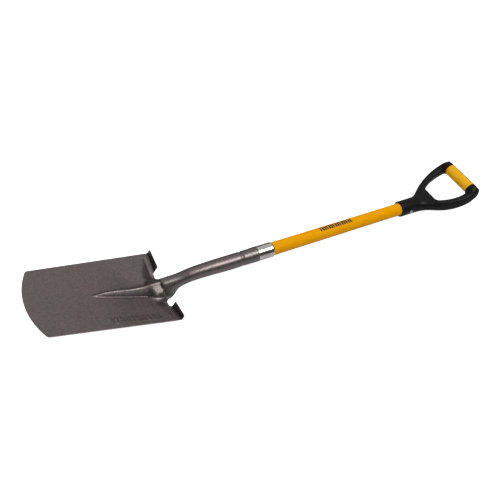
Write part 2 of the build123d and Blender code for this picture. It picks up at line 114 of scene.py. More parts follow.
# ---- curves ---------------------------------------------------------------------------------
def pchip(xs, ys, x):
    """Smooth interpolation through (xs, ys) that does not overshoot, for an array x."""
    xs, ys = np.asarray(xs, float), np.asarray(ys, float)
    gap = np.diff(xs)
    rate = np.diff(ys) / gap
    slope = np.zeros(len(xs))
    for i in range(1, len(xs) - 1):
        if rate[i - 1] * rate[i] > 0:
            w1, w2 = 2 * gap[i] + gap[i - 1], gap[i] + 2 * gap[i - 1]
            slope[i] = (w1 + w2) / (w1 / rate[i - 1] + w2 / rate[i])
    slope[0], slope[-1] = rate[0], rate[-1]
    x = np.clip(np.asarray(x, float), xs[0], xs[-1])
    i = np.clip(np.searchsorted(xs, x, side="right") - 1, 0, len(xs) - 2)
    t = (x - xs[i]) / gap[i]
    return (
        (1 + 2 * t) * (1 - t) ** 2 * ys[i]
        + t * (1 - t) ** 2 * gap[i] * slope[i]
        + t * t * (3 - 2 * t) * ys[i + 1]
        + t * t * (t - 1) * gap[i] * slope[i + 1]
    )


def ease(x, lo, hi):
    """0 below lo, 1 above hi, with a soft S between."""
    t = np.clip((np.asarray(x, float) - lo) / (hi - lo), 0, 1)
    return t * t * (3 - 2 * t)


# ---- spade head: sizes ----------------------------------------------------------------------
SHEET, NECK_SHEET, SOCKET_SHEET = 2.0, 1.8, 1.5  # steel thickness
RIM = 0.45  # rounding of every free edge
# Cutting edge: an arc from the tip on the centre line to the two corners.
TIP_X, CORNER_X, CORNER_Y = -565.5, -543.1, 88.4
EDGE_R = (CORNER_Y**2 + (CORNER_X - TIP_X) ** 2) / (2 * (CORNER_X - TIP_X))
CORNER_ROUND, TREAD_ROUND = 4.6, 3.2
# Treads, and the straight side edges that rise from them towards the tip.
TREAD_X, TREAD_Y = -273.7, 102.1
EDGE_Z_TREAD, LIFT = -7.2, 0.2572
TREAD_LEAN = math.radians(29.4)
TREAD_TOP = 11.4
TREAD_FOOT = np.array([TREAD_X + 0.2, 77.6, -12.1])
TREAD_RUN_Y, TREAD_RISE_Z = 48.8, 9.3  # slope of the tread's foot line across the blade
FOLD_R = 3.6
# Round-cornered notch between the neck and each tread.
NECK_Y, NOTCH_Y = 30.5, 53.0
NOTCH_X, NOTCH_R = -280.5, 6.5
SHOULDER_X = NOTCH_X + NOTCH_R
# Neck and rolled socket.
NECK_X, SOCKET_END, SHEET_END = -276.0, -43.8, -262.0
SEAM = 0.7  # half the gap where the rolled socket closes at the back
GROOVE_X, GROOVE_HALF, GROOVE_DEPTH = -85.0, 6.0, 1.1
# Columns across each tread, each notch and the middle.
N_TREAD, N_NOTCH, N_MID = 44, 12, 64

# Each pair is stations and values. Along X: rise and half width of the frog at the neck.
FROG_RISE = (
    [-432, -426, -420, -406, -385, -363, -340, -320, -300, -285, -272, -262],
    [0.0, 0.25, 1.6, 4.2, 6.6, 8.9, 12.4, 17.4, 22.8, 28.6, 34.0, 36.0],
)
FROG_WIDTH = (
    [-432, -423, -399, -376, -348, -313, -276, -262],
    [5.0, 8.5, 14.0, 18.5, 23.0, 27.5, 31.5, 32.5],
)
# Along X: height of the socket's axis, and its outer radius.
AXIS_HEIGHT = (
    [-292, -276, -246, -232, -211, -186, -161, -136, -111, -42],
    [-6.6, -6.4, -5.2, -3.2, 0.4, 1.3, 1.3, 0.6, 0.0, 0.0],
)
SOCKET_RADIUS = (
    [-292, -246, -211, -186, -161, -136, -111, -66, -54, -42],
    [15.4, 15.4, 15.7, 16.2, 16.8, 17.3, 17.65, 17.7, 18.2, 18.3],
)
# Along X: depth of the dish on the centre line.
DISH = (
    [-570, -520, -480, -450, -425, -411, -400, -378, -356, -332, -307, -293, -285, -276, -262],
    [2.5, 2.8, 3.2, 3.8, 4.5, 5.1, 5.8, 8.0, 10.9, 13.3, 15.2, 15.7, 16.0, 16.6, 17.6],
)
# Along X: rise and half width of the frog's cone.
CONE_X = [-435, -430, -424, -418, -411, -400, -378, -356, -332, -318, -307, -293, -262]
CONE_RISE = [0.0, 1.0, 3.0, 4.5, 6.0, 7.9, 10.3, 12.5, 15.1, 18.4, 22.0, 26.6, 33.0]
CONE_WIDTH = [2.6, 3.4, 4.4, 5.4, 6.5, 8.0, 10.2, 12.0, 14.2, 17.0, 20.0, 23.9, 28.0]
# Across Y from the centre line: height of the shoulder beside the frog.
SHELF = (
    [0, 3, 6, 9, 12, 15, 18, 20, 22, 24, 25.5, 27, 28.5, 31, 35, 42],
    [8.9, 7.2, 5.0, 3.2, 1.4, -0.4, -2.2, -3.6, -5.4, -8.0, -10.4, -12.3, -13.4, -14.0, -14.2,
     -14.3],
)
# Row of pressed bars: start, length, pitch, centre line at the start and its drift, half height.
BARS_X, BARS_LENGTH, BARS_PITCH = -422.0, 110.0, 11.0
BARS_Y, BARS_DRIFT, BARS_HALF = -73.5, 8.0, 8.6
# Cells repeat in this order: half width and centres of the bars, as shares of the pitch.
BAR_KINDS = [(0.09, (0.24, 0.62)), (0.22, (0.42,)), (0.08, (0.2, 0.45, 0.7))]


# ---- spade head: surface --------------------------------------------------------------------
def half_width(x):
    taper = (TREAD_X - np.minimum(x, TREAD_X)) / (TREAD_X - CORNER_X)
    return TREAD_Y - (TREAD_Y - CORNER_Y) * taper


def edge_arc(y):
    """X of the cutting edge."""
    return TIP_X + EDGE_R - np.sqrt(EDGE_R**2 - y**2)


def sheet_z(x, y):
    """Front face of the dished sheet without its frog."""
    share = np.clip((x + 565.0) / 291.0, 0.0, 1.1)
    across = np.abs(y) / half_width(x)
    dish = pchip(*DISH, x) * (1.0 - across ** (2.0 - 0.6 * share))
    return EDGE_Z_TREAD - LIFT * (x - TREAD_X) - dish


def front_z(x, y):
    """Front face of the sheet: side edges, dish, pressed frog and dips beside the treads."""
    x, y = np.broadcast_arrays(np.asarray(x, float), np.asarray(y, float))
    out = np.abs(y)
    base = sheet_z(x, y)
    # Towards the tip the frog is a steep rounded cone, with its foot blended over a small band.
    fall = 1 - (out / pchip(CONE_X, CONE_WIDTH, x)) ** 1.22
    band = 0.01
    foot = np.where(fall < -band, 0.0, (fall + band) ** 2 / (4 * band))
    cone = pchip(CONE_X, CONE_RISE, x) * np.where(fall > band, fall, foot)
    # At the neck it widens into the arch that rolls up into the socket.
    share = np.minimum(out / pchip(*FROG_WIDTH, x), 1.0)
    power = 1.0 + 0.28 * ease(x, -400, -285)
    bell = pchip(*FROG_RISE, x) * 0.5 * (1 + np.cos(np.pi * share**power))
    to_bell = ease(x, -308, -282)
    z = base + (1 - to_bell) * cone + to_bell * bell
    # Between them each flank flattens to a broad shoulder.
    to_shelf = ease(x, -320, -299) * (1 - ease(x, -285.5, -279.5)) * ease(41.0 - out, 0.0, 9.0)
    shelf = pchip(*SHELF, out) - LIFT * (x + 292.0) * ease(out, 19.0, 31.0)
    z = z * (1 - to_shelf) + shelf * to_shelf
    # Beside the neck the sheet swells a little, then slopes down to the fold of each tread.
    inward = np.clip((98.0 - out) / 53.0, 0, 1)
    run = np.minimum(np.clip(x + 288.5 + 22.0 * inward, 0, None), 22.0 * inward)
    dip = 0.40 * inward**0.3 * (run - 3.0 * (1 - np.exp(-run / 3.0)))
    swell = 2.5 * inward * ease(x, -370, -312) * ease(out, 20.0, 64.0)
    return z + swell - dip * ease(out, 28.0, 36.0)


def pressed_bars(x, y):
    """Height of a row of plain raised bars beside the blade's -Y edge."""
    share = (x - BARS_X) / BARS_LENGTH
    cell = np.floor((x - BARS_X) / BARS_PITCH)
    within = (x - BARS_X) / BARS_PITCH - cell

    def bar(centre, half):
        return ease(half - np.abs(within - centre), -0.05, 0.07)

    kinds = [np.maximum.reduce([bar(c, half) for c in centres]) for half, centres in BAR_KINDS]
    raised = np.choose(cell.astype(int) % 3, kinds)
    up = (y - (BARS_Y - BARS_DRIFT * share)) / BARS_HALF
    return raised * ease(1.0 - np.abs(up), 0.0, 0.18) * ((share >= 0) & (share <= 1))


class Fold:
    """Where the sheet turns up into the tread, tabulated across the blade."""

    def __init__(self):
        along = np.array([0, TREAD_RUN_Y, TREAD_RISE_Z]) / math.hypot(TREAD_RUN_Y, TREAD_RISE_Z)
        up = np.array([math.sin(TREAD_LEAN), 0, math.cos(TREAD_LEAN)])
        normal = np.cross(along, up)
        self.y = np.linspace(36.0, 104.0, 90)
        line = TREAD_FOOT + along * ((self.y - TREAD_FOOT[1]) / along[1])[:, None]
        line = line - normal * SHEET / math.hypot(normal[0], normal[2]) ** 2
        self.up_x, self.up_z = up[0], up[2]
        # Slide the start of the bend until the bend meets both the blade and the tread line.
        x = np.full_like(self.y, -283.0)
        for _ in range(30):
            z = front_z(x, self.y)
            rate = (front_z(x + 0.2, self.y) - front_z(x - 0.2, self.y)) / 0.4
            slope = np.arctan(rate)
            blade_x, blade_z = np.cos(slope), np.sin(slope)
            dx, dz = line[:, 0] - x, line[:, 2] - z
            cross = blade_x * self.up_z - blade_z * self.up_x
            to_line = (dx * self.up_z - dz * self.up_x) / cross
            turn = math.atan2(self.up_z, self.up_x) - slope
            reach = FOLD_R * np.tan(turn / 2)
            x = x + 0.6 * (to_line - reach) * blade_x
        self.x, self.z, self.slope, self.turn = x, front_z(x, self.y), slope, turn
        # Where the blade line meets the tread line, measured from the foot along the tread.
        meet_x, meet_z = x + to_line * blade_x, self.z + to_line * blade_z
        meet = (meet_x - line[:, 0]) * self.up_x + (meet_z - line[:, 2]) * self.up_z
        self.straight = np.maximum(1.5, TREAD_TOP - meet - reach)

    def at(self, y, what):
        return np.interp(np.abs(y), self.y, getattr(self, what))

    def top(self, y):
        """Flat coordinate of the tread's top edge."""
        length = FOLD_R * self.at(y, "turn") + self.at(y, "straight")
        return self.at(y, "x") + np.cos(self.at(y, "slope")) * length


fold = Fold()


def sheet_point(flat_x, y):
    """Front face of the blade and treads at a flat coordinate and width y."""
    z = front_z(np.minimum(flat_x, SHEET_END), y) + pressed_bars(flat_x, y)
    flat = np.stack([flat_x, y, z], -1)
    x, z, slope, turn = (fold.at(y, what) for what in ("x", "z", "slope", "turn"))
    past = (flat_x - x) / np.cos(slope)
    angle = slope + np.clip(past / FOLD_R, 0, turn)
    over = np.maximum(0.0, past - FOLD_R * turn)
    bent_x = x - np.sin(slope) * FOLD_R + FOLD_R * np.sin(angle) + over * fold.up_x
    bent_z = z + np.cos(slope) * FOLD_R - FOLD_R * np.cos(angle) + over * fold.up_z
    bent = np.stack([bent_x, y, bent_z], -1)
    weight = (ease(np.abs(y), 37.0, 46.5) * (past > 0))[..., None]
    return flat * (1 - weight) + bent * weight


def neck_profiles():
    """Widths of the middle columns at every station, equally spaced along the front curve."""
    xs = np.arange(-568.0, -273.0, 1.0)
    ys = np.linspace(-NECK_Y, NECK_Y, 601)
    rows = []
    for x in xs:
        z = front_z(np.full_like(ys, x), ys)
        length = np.concatenate([[0], np.cumsum(np.hypot(np.diff(ys), np.diff(z)))])
        rows.append(np.interp(np.linspace(0, length[-1], N_MID + 1), length, ys))
    return xs, np.array(rows)


MID_XS, MID_YS = neck_profiles()


def mid_y(j, x):
    return np.interp(x, MID_XS, MID_YS[:, j])


def neck_point(j, x):
    """Front or outer face of the neck and rolled socket, for middle column j."""
    flat_x = np.minimum(x, NECK_X)
    flat_y = mid_y(j, flat_x)
    axis_z = pchip(*AXIS_HEIGHT, x)
    rise = np.where(x > NECK_X, axis_z - pchip(*AXIS_HEIGHT, NECK_X), 0.0)
    flat_z = front_z(flat_x, flat_y) + rise
    radius = pchip(*SOCKET_RADIUS, x)
    from_groove = x - GROOVE_X
    wave = 0.5 * (1 + np.cos(np.pi * from_groove / GROOVE_HALF))
    radius = radius - GROOVE_DEPTH * np.where(np.abs(from_groove) < GROOVE_HALF, wave, 0.0)
    roll = ease(x, -277.0, -228.0) ** 1.25
    angle = (-1 + 2 * j / N_MID) * (math.pi - SEAM / radius)
    y = (1 - roll) * flat_y + roll * radius * np.sin(angle)
    z = (1 - roll) * flat_z + roll * (axis_z + radius * np.cos(angle))
    return np.stack([x, y, z], -1)


# ---- spade head: grid -----------------------------------------------------------------------
def joined(*spans):
    """Stations of several (start, end, count) spans, each leaving out its first."""
    return np.concatenate([np.linspace(*span)[1:] for span in spans])


BLADE_ROWS = np.concatenate([
    [-565.5, -564.9, -564.2, -563.4, -562.5, -561.4],
    np.linspace(-559.5, -440, 44),
    np.linspace(-438, -418, 11),
    np.linspace(-416.5, -312.5, 92),
    np.linspace(-310.5, -291, 11),
    np.linspace(-289.5, SHOULDER_X, 14),
])
BLADE_SHARE = (BLADE_ROWS - TIP_X) / (SHOULDER_X - TIP_X)
NECK_ROWS = joined(
    (SHOULDER_X, -236, 24), (-236, -86, 62), (-86, -72, 19), (-72, SOCKET_END, 16)
)
TREAD_SHARE = np.concatenate([joined((0, 0.86, 12)), [0.90, 0.935, 0.965, 0.985, 1.0]])
TREAD_COLUMNS = np.linspace(0, 1, N_TREAD + 1)
NOTCH_COLUMNS = 0.5 * (1 - np.cos(np.pi * np.arange(N_NOTCH + 1) / N_NOTCH))


def round_corner(s, t, size):
    """Where a point at s and t from two edges is near their corner, and its rounded s and t."""
    near = (s < size) & (t < size)
    a, b = 1 - s / size, 1 - t / size
    round_a = a * np.sqrt(np.maximum(0, 1 - b * b / 2))
    round_b = b * np.sqrt(np.maximum(0, 1 - a * a / 2))
    return near, size * (1 - round_a), size * (1 - round_b)


def outer_column(side, share):
    """Blade column that ends below a tread."""
    edge_y = NOTCH_Y
    for _ in range(8):
        edge_y = NOTCH_Y + (half_width(edge_arc(edge_y)) - NOTCH_Y) * share
    start = edge_arc(edge_y)
    x = start + (SHOULDER_X - start) * BLADE_SHARE
    y = NOTCH_Y + (half_width(x) - NOTCH_Y) * share
    near, s, t = round_corner(x - start, half_width(x) - y, CORNER_ROUND)
    round_y = half_width(x) - t
    x = np.where(near, edge_arc(round_y) + s, x)
    return sheet_point(x, side * np.where(near, round_y, y))


def notch_column(side, share):
    """Blade column that ends at the notch."""
    y = NECK_Y + (NOTCH_Y - NECK_Y) * share
    end = NOTCH_X
    if y < NECK_Y + NOTCH_R:
        end = SHOULDER_X - math.sqrt(max(0, NOTCH_R**2 - (NECK_Y + NOTCH_R - y) ** 2))
    elif y > NOTCH_Y - NOTCH_R:
        end = SHOULDER_X - math.sqrt(max(0, NOTCH_R**2 - (y - NOTCH_Y + NOTCH_R) ** 2))
    start = edge_arc(y)
    x = start + (end - start) * BLADE_SHARE
    return sheet_point(x, np.full_like(x, side * y))


def middle_column(j):
    """Blade column that runs on into the neck."""
    start = edge_arc(MID_YS[0, j])
    x = start + (SHOULDER_X - start) * BLADE_SHARE
    y = mid_y(j, x)
    flat = np.stack([x, y, front_z(x, y)], -1)
    return np.where((x < -281.0)[:, None], flat, neck_point(j, x))


def tread_column(side, share):
    """Column of the tread, from the shoulder to its top edge."""
    width = NOTCH_Y + (TREAD_Y - NOTCH_Y) * share
    top = fold.top(width)
    x = SHOULDER_X + (top - SHOULDER_X) * TREAD_SHARE
    y = np.full_like(x, width)
    near, s, t = round_corner(top - x, TREAD_Y - y, TREAD_ROUND)
    return sheet_point(np.where(near, top - s, x), side * np.where(near, TREAD_Y - t, y))


def head_grid():
    """Front surface of the whole head: points, quads and the thickness at each point."""
    points, thickness, quads = [], [], []

    def add(column, thick):
        first = len(points)
        points.extend(column)
        thickness.extend(np.broadcast_to(thick, len(column)))
        return list(range(first, len(points)))

    def add_middle(j):
        column = middle_column(j)
        return add(column, SHEET - (SHEET - NECK_SHEET) * ease(column[:, 0], -300, NECK_X))

    def strips(lines, flip=False):
        for a, b in zip(lines, lines[1:]):
            for i in range(len(a) - 1):
                quad = (a[i], a[i + 1], b[i + 1], b[i])
                quads.append(quad[::-1] if flip else quad)

    # Blade columns from -Y to +Y.
    blade = [add(outer_column(-1, share), SHEET) for share in TREAD_COLUMNS[:0:-1]]
    blade += [add(notch_column(-1, share), SHEET) for share in NOTCH_COLUMNS[:0:-1]]
    blade += [add_middle(j) for j in range(N_MID + 1)]
    blade += [add(notch_column(1, share), SHEET) for share in NOTCH_COLUMNS[1:]]
    blade += [add(outer_column(1, share), SHEET) for share in TREAD_COLUMNS[1:]]
    strips(blade)
    # Neck and socket.
    thin = NECK_SHEET + (SOCKET_SHEET - NECK_SHEET) * ease(NECK_ROWS, NECK_X, -200)
    first = N_TREAD + N_NOTCH
    strips([
        blade[first + j][-1:] + add(neck_point(j, NECK_ROWS), thin) for j in range(N_MID + 1)
    ])
    # Treads.
    for side in (-1, 1):
        inner = N_TREAD if side < 0 else len(blade) - 1 - N_TREAD
        lines = [
            blade[inner + side * k][-1:] + add(tread_column(side, share), SHEET)
            for k, share in enumerate(TREAD_COLUMNS)
        ]
        strips(lines, flip=side < 0)
    return np.array(points), np.array(quads), np.array(thickness)


def thicken(points, quads, thickness):
    """Closed solid from a front surface: back surface, and a rounded rim on every free edge."""
    p = points[quads]
    face_normals = np.cross(p[:, 2] - p[:, 0], p[:, 3] - p[:, 1])
    normals = np.zeros_like(points)
    for k in range(4):
        np.add.at(normals, quads[:, k], face_normals)
    normals /= np.maximum(np.linalg.norm(normals, axis=1), 1e-9)[:, None]
    # A free edge has no partner running the other way.
    edges = np.concatenate([quads[:, [k, (k + 1) % 4]] for k in range(4)])
    count = len(points)
    key = edges[:, 0].astype(np.int64) * count + edges[:, 1]
    reverse = edges[:, 1].astype(np.int64) * count + edges[:, 0]
    free = edges[~np.isin(key, reverse)]
    inward = np.zeros_like(points)
    along = points[free[:, 1]] - points[free[:, 0]]
    along /= np.linalg.norm(along, axis=1)[:, None]
    for k in range(2):
        np.add.at(inward, free[:, k], np.cross(normals[free[:, k]], along))
    length = np.linalg.norm(inward, axis=1)
    on_rim = length > 1e-9
    inward[on_rim] /= length[on_rim][:, None]
    rim = np.nonzero(on_rim)[0]
    slot = np.full(count, -1)
    slot[rim] = np.arange(len(rim))
    thick = thickness[:, None]
    verts = np.concatenate([
        points + inward * RIM,
        points - normals * thick + inward * RIM,
        (points - normals * RIM)[rim],
        (points - normals * (thick - RIM))[rim],
    ])
    a, b = free[:, 0], free[:, 1]
    front_a, front_b = slot[a] + 2 * count, slot[b] + 2 * count
    back_a, back_b = front_a + len(rim), front_b + len(rim)
    faces = [
        quads,
        quads[:, ::-1] + count,
        np.stack([b, a, front_a, front_b], 1),
        np.stack([front_b, front_a, back_a, back_b], 1),
        np.stack([back_b, back_a, a + count, b + count], 1),
    ]
    return verts, np.concatenate(faces)


# ---- turned parts ---------------------------------------------------------------------------
def lathe(profile, segments, axis="x", centre=(0.0, 0.0, 0.0), wobble=None):
    """Solid turned from (along, radius) points: a closed ring, or open where it meets the axis."""
    angles = 2 * np.pi * np.arange(segments) / segments
    points, rings = [], []
    closed = True
    for s, r in np.array(profile, float):
        if r < 1e-9:
            closed = False
            rings.append(np.full(segments, len(points)))
            points.append((s, 0.0, 0.0))
            continue
        radius = r if wobble is None else r + wobble(s, r, angles)
        rings.append(len(points) + np.arange(segments))
        points += [(s, u, v) for u, v in zip(radius * np.cos(angles), radius * np.sin(angles))]
    faces = []
    for k in range(len(rings) if closed else len(rings) - 1):
        a, b = rings[k], rings[(k + 1) % len(rings)]
        for i in range(segments):
            j = (i + 1) % segments
            faces.append([a[i], a[j], b[j], b[i]])
    points = np.array(points)
    if axis == "y":
        points = points[:, [1, 0, 2]]
        faces = [face[::-1] for face in faces]
    return points + np.array(centre), faces


def soften(profile, size):
    """Rounds every corner of a closed profile with three points."""
    out = []
    count = len(profile)
    for i in range(count):
        p, a, b = (np.array(profile[k % count], float) for k in (i, i - 1, i + 1))
        to_a, to_b = np.linalg.norm(a - p), np.linalg.norm(b - p)
        cut = min(size, 0.45 * to_a, 0.45 * to_b)
        near_a, near_b = p + (a - p) / to_a * cut, p + (b - p) / to_b * cut
        out += [near_a, (near_a + 2 * p + near_b) / 4, near_b]
    return out


def refine(profile, step):
    """Splits the sides of a closed profile so that none is longer than step."""
    out = []
    for i in range(len(profile)):
        p, q = profile[i], profile[(i + 1) % len(profile)]
        parts = max(1, int(math.ceil(np.linalg.norm(q - p) / step)))
        out += [p + (q - p) * j / parts for j in range(parts)]
    return out


# ---- D-grip frame ---------------------------------------------------------------------------
GRIP_SOCKET_X = 374.0
CROTCH_X = 475.8  # where the yoke ends between the arms
BAR_R, BAR_HALF = 10.9, 46.0  # core bar inside the sleeve
COLLAR_R, COLLAR_FLAT, COLLAR_END = 15.9, 48.0, 64.0
COLLAR_DX, COLLAR_DZ = 0.3, -1.2
RIVET_HOLE_R, RIVET_SEAT_R, RIVET_SEAT_Y = 2.75, 5.5, 19.7
FAR = 60.0  # distance given to places a shape does not reach
# Along X: height of the grip's middle line.
MIDDLE_LINE = (
    [374, 428, 440, 452, 470, 492, 515, 540, 563.1, 585],
    [0.0, 0.0, 0.9, 3.4, 9.0, 16.0, 23.4, 33.6, 47.4, 62.0],
)
# Yoke sections: x, half width in Y, half height, exponent of the rounded section.
YOKE = np.array([
    (374, 20.4, 20.4, 2.0), (388, 20.4, 20.4, 2.0), (402, 20.4, 20.4, 2.0),
    (415, 20.5, 20.2, 2.0), (428, 21.6, 19.2, 2.0), (438, 23.8, 17.9, 2.1),
    (448, 28.0, 16.6, 2.2), (457, 33.4, 15.6, 2.3), (465, 38.6, 14.8, 2.4),
    (473, 43.0, 14.0, 2.5), (486, 48.0, 13.6, 2.5),
])
# Arm sections: x, y, half width, half height, exponent, tilt in degrees, offset from the
# middle line along its normal.
ARM = np.array([
    (438, 9.0, 6.6, 9.0, 2.3, 2, 0.0), (448, 14.6, 7.2, 10.6, 2.4, 3, 0.0),
    (456, 20.6, 7.8, 12.0, 2.6, 4, 0.0), (463, 26.4, 8.2, 13.2, 2.8, 6, 0.0),
    (471, 31.9, 8.8, 14.2, 3.0, 9, 0.0), (481, 38.8, 9.0, 14.4, 3.1, 11, 0.0),
    (492, 45.2, 8.8, 14.3, 3.2, 12, -0.2), (504, 50.2, 8.9, 14.2, 3.2, 12, -0.5),
    (517, 54.0, 9.4, 14.2, 3.2, 11, -1.0), (530, 56.6, 10.0, 14.2, 3.1, 9, -1.8),
    (543, 57.6, 10.6, 14.2, 3.0, 6, -2.8), (555, 56.6, 10.9, 14.0, 2.8, 3, -3.6),
    (565, 53.4, 10.6, 13.6, 2.6, 2, -3.8), (571, 49.6, 10.0, 13.0, 2.4, 1, -3.8),
])
ARM_STEPS = 120
CORNERS = [(a, b, c) for a in (0, 1) for b in (0, 1) for c in (0, 1)]


def middle_line(x):
    """Centre, direction and upward normal of the grip's middle line."""
    z = pchip(*MIDDLE_LINE, x)
    slope = pchip(*MIDDLE_LINE, x + 0.5) - pchip(*MIDDLE_LINE, x - 0.5)
    slope = np.where(x > 375, slope, 0.0)
    length = np.sqrt(1 + slope * slope)
    zero = 0 * length
    tangent = np.stack([1 / length, zero, slope / length], -1)
    normal = np.stack([-slope / length, zero, 1 / length], -1)
    return np.stack([x, zero, z], -1), tangent, normal


def radial(u, w, a, b, power):
    """Signed distance, along the ray from the centre, to a rounded section."""
    share = (np.abs(u / a) ** power + np.abs(w / b) ** power) ** (1 / power)
    distance = np.hypot(u, w) * (1 - 1 / np.maximum(share, 1e-3))
    return distance - np.where(share < 1e-3, np.minimum(a, b), 0)


def soft_min(a, b, blend):
    h = np.clip(0.5 + 0.5 * (b - a) / blend, 0, 1)
    return b * (1 - h) + a * h - blend * h * (1 - h)


def soft_max(a, b, blend):
    return -soft_min(-a, -b, blend)


def yoke_distance(xs, zs, Y):
    """Distance to the yoke, from the nearest station of the middle line."""
    stations = np.arange(360.0, 584.0, 0.4)
    centre, tangent, normal = middle_line(stations)
    X, Z = np.meshgrid(xs, zs, indexing="ij")
    best = np.full(X.shape, 1e9)
    near = np.zeros(X.shape, int)
    for k in range(len(stations)):
        d = (X - centre[k, 0]) ** 2 + (Z - centre[k, 2]) ** 2
        closer = d < best
        best[closer], near[closer] = d[closer], k
    dx, dz = X - centre[near, 0], Z - centre[near, 2]
    station = stations[near] + (dx * tangent[near, 0] + dz * tangent[near, 2]) * tangent[near, 0]
    height = dx * normal[near, 0] + dz * normal[near, 2]
    sizes = (pchip(YOKE[:, 0], YOKE[:, k], station)[:, None, :] for k in (1, 2, 3))
    yoke = radial(Y, height[:, None, :], *sizes)
    return soft_max(yoke, station[:, None, :] - CROTCH_X, 3.0)


def arm_distance(X, Y, Z):
    """Distance to the arm, between the two section planes that hold each point."""
    steps = np.linspace(0, len(ARM) - 1, ARM_STEPS)
    table = [pchip(np.arange(len(ARM)), column, steps) for column in ARM.T]
    x, y, half_width_, half_height, power, tilt, offset = table
    heading = np.arctan2(np.gradient(y), np.gradient(x))[:, None]
    centre, tangent, normal = middle_line(x)
    centre[:, 1] += y
    centre += normal * offset[:, None]
    sideways = np.array([0.0, 1.0, 0.0])
    level = sideways * np.cos(heading) - tangent * np.sin(heading)
    tilt = np.radians(tilt)[:, None]
    across = level * np.cos(tilt) + normal * np.sin(tilt)
    up = normal * np.cos(tilt) - level * np.sin(tilt)
    path = tangent * np.cos(heading) + sideways * np.sin(heading)

    used = np.nonzero((X > 430).ravel())[0]
    points = np.stack([axis.ravel()[used] for axis in (X, Y, Z)], -1).astype(np.float32)
    found = np.full(len(used), FAR, np.float32)

    def past_plane(k):
        return (points - centre[k].astype(np.float32)) @ path[k].astype(np.float32)

    before = past_plane(0)
    for k in range(ARM_STEPS - 1):
        after = past_plane(k + 1)
        held = (before >= 0) & (after < 0)
        if held.any():
            p = points[held].astype(float)
            w = (before[held] / (before[held] - after[held])).astype(float)

            def between(start, end):
                return start * (1 - w) + end * w

            d = radial(
                *(between((p - centre[k]) @ way[k], (p - centre[k + 1]) @ way[k + 1])
                  for way in (across, up)),
                *(between(size[k], size[k + 1]) for size in (half_width_, half_height, power)),
            )
            found[held] = np.minimum(found[held], d)
        before = after
    arm = np.full(X.shape, FAR)
    arm.ravel()[used] = found
    return arm


def collar_distance(X, Y, Z):
    """Distance to the round collar at the end of the grip bar."""
    drop = Z - GRIP_Z - COLLAR_DZ + 3.0 * ease(Y, 50.0, 64.0)
    radius = np.hypot(X - GRIP_X - COLLAR_DX, drop)
    over = np.maximum(Y - COLLAR_FLAT, 0)
    share = np.sqrt((over / (COLLAR_END - COLLAR_FLAT)) ** 2 + (radius / COLLAR_R) ** 2)
    return np.hypot(over, radius) * (1 - 1 / np.maximum(share, 1e-3))


def grip_field(step):
    """Signed distance samples of the whole frame, and the place of the first sample."""
    xs = np.arange(370.0, 584.0, step)
    ys = (np.arange(int(72 / step)) + 0.5) * step
    zs = np.arange(-25.0, 70.0, step)
    X, Y, Z = np.meshgrid(xs, ys, zs, indexing="ij")
    from_bar = np.hypot(X - GRIP_X, Z - GRIP_Z)
    from_rivet = np.hypot(X - RIVET_X, Z)
    ends = soft_min(arm_distance(X, Y, Z), collar_distance(X, Y, Z), 9.0)
    clear = np.where((Y < 30) & (X > 520), FAR, ends)
    ends = np.where(from_bar < 24, soft_max(ends, SLEEVE_HALF - Y, 1.2), clear)
    body = soft_min(yoke_distance(xs, zs, Y), ends, 8.0)
    body = np.minimum(body, np.maximum(from_bar - BAR_R, Y - BAR_HALF))
    body = soft_max(body, GRIP_SOCKET_X - X, 2.2)
    bore = np.maximum(np.hypot(Y, Z) - (SHAFT_R + 0.12), X - SHAFT_END - 0.4)
    body = soft_max(body, -bore, 0.8)
    seat = np.maximum(from_rivet - RIVET_SEAT_R, RIVET_SEAT_Y - Y)
    body = soft_max(body, -seat, 0.5)
    body = np.maximum(body, -(from_rivet - RIVET_HOLE_R))
    # Only the +Y half is worked out; the other is its mirror.
    full = np.concatenate([body[:, ::-1, :], body], 1)
    return full, np.array([xs[0], -ys[-1], zs[0]])


def surface_nets(field):
    """Closed quad mesh of the zero level of a sampled field, in cell units."""
    inside = field < 0
    cells = tuple(size - 1 for size in field.shape)
    total = np.zeros(cells, np.uint8)
    for corner in CORNERS:
        total += inside[tuple(slice(a, size + a) for a, size in zip(corner, cells))]
    ii, jj, kk = np.nonzero((total > 0) & (total < 8))
    index = np.full(cells, -1, np.int64)
    index[ii, jj, kk] = np.arange(len(ii))
    # Each vertex is the mean of the crossings on its cell's edges.
    crossings, count = np.zeros((len(ii), 3)), np.zeros(len(ii))
    for p in CORNERS:
        for q in CORNERS:
            if sum(abs(p[k] - q[k]) for k in range(3)) == 1 and p < q:
                at_p = field[ii + p[0], jj + p[1], kk + p[2]]
                at_q = field[ii + q[0], jj + q[1], kk + q[2]]
                hit = (at_p < 0) != (at_q < 0)
                t = np.where(hit, at_p / np.where(hit, at_p - at_q, 1), 0)
                place = np.array(p) + t[:, None] * (np.array(q) - np.array(p))
                crossings[hit] += place[hit]
                count[hit] += 1
    verts = crossings / count[:, None] + np.stack([ii, jj, kk], -1)
    # One quad around each grid edge that crosses the surface.
    faces = []
    for axis in range(3):
        side_1, side_2 = (axis + 1) % 3, (axis + 2) % 3
        low = [slice(1, -1)] * 3
        low[axis] = slice(0, -1)
        high = list(low)
        high[axis] = slice(1, None)
        start, end = inside[tuple(low)], inside[tuple(high)]
        for flip, mask in ((False, start & ~end), (True, ~start & end)):
            base = np.stack(np.nonzero(mask), -1)
            base[:, side_1] += 1
            base[:, side_2] += 1
            quad = []
            for d1, d2 in ((-1, -1), (0, -1), (0, 0), (-1, 0)):
                cell = base.copy()
                cell[:, side_1] += d1
                cell[:, side_2] += d2
                quad.append(index[cell[:, 0], cell[:, 1], cell[:, 2]])
            quad = np.stack(quad, 1)
            faces.append(quad[:, ::-1] if flip else quad)
    return verts, np.concatenate(faces)


